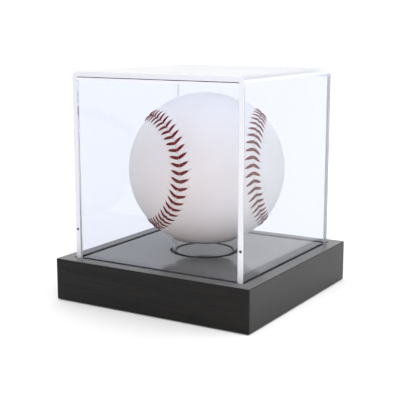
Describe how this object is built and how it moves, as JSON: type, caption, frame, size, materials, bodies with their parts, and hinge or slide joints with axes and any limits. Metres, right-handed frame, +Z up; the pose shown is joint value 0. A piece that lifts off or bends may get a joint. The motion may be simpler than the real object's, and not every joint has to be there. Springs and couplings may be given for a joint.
{
  "type": "ball display case",
  "caption": "Clear acrylic cube cover that lifts off a square black wooden base, with a stitched leather ball on a clear ring.",
  "frame": {"origin": "centre of the square footprint, on the surface that the four foot pads stand on", "axes": "+Z up; -Y out through the flat front panel; the bent sheet's two legs stand at -X and +X"},
  "size_m": [0.1046, 0.1046, 0.1092],
  "materials": {
    "stained_wood": "satin",
    "black_acrylic": "gloss",
    "clear_acrylic": "gloss",
    "foam_tape": "matte",
    "foot_rubber": "matte",
    "ball_leather": "satin",
    "red_thread": "satin",
    "cotton_yarn": "matte",
    "grey_wool": "matte",
    "white_wool": "matte",
    "red_rubber": "matte",
    "black_rubber": "matte",
    "cork": "matte"
  },
  "bodies": {
    "base": {"wood_base": "stained_wood", "floor_plate": "black_acrylic", "plate_tape": "foam_tape", "foot_pad_front_left": "foot_rubber", "foot_pad_front_right": "foot_rubber", "foot_pad_back_left": "foot_rubber", "foot_pad_back_right": "foot_rubber"},
    "cover": {"cover_bent_sheet": "clear_acrylic", "cover_front_panel": "clear_acrylic", "cover_back_panel": "clear_acrylic"},
    "ring": {"ring_stand": "clear_acrylic"},
    "ball": {"leather_panel_a": "ball_leather", "leather_panel_b": "ball_leather", "seam_thread": "red_thread", "finish_winding": "cotton_yarn", "third_wool_winding": "grey_wool", "second_wool_winding": "white_wool", "first_wool_winding": "grey_wool", "outer_rubber_shell": "red_rubber", "inner_rubber_shell": "black_rubber", "cork_core": "cork"}
  },
  "joints": [
    {"name": "cover_lift", "type": "slide", "parent": "base", "child": "cover", "axis": [0, 0, 1], "range_m": [0, 0.2]},
    {"name": "ball_lift", "type": "slide", "parent": "base", "child": "ball", "axis": [0, 0, 1], "range_m": [0, 0.1]},
    {"name": "ring_lift", "type": "slide", "parent": "base", "child": "ring", "axis": [0, 0, 1], "range_m": [0, 0.03]}
  ],
  "couplings": [
    {"joint": "ball_lift", "follows": "cover_lift", "ratio": 0.5},
    {"joint": "ring_lift", "follows": "cover_lift", "ratio": 0.15}
  ]
}
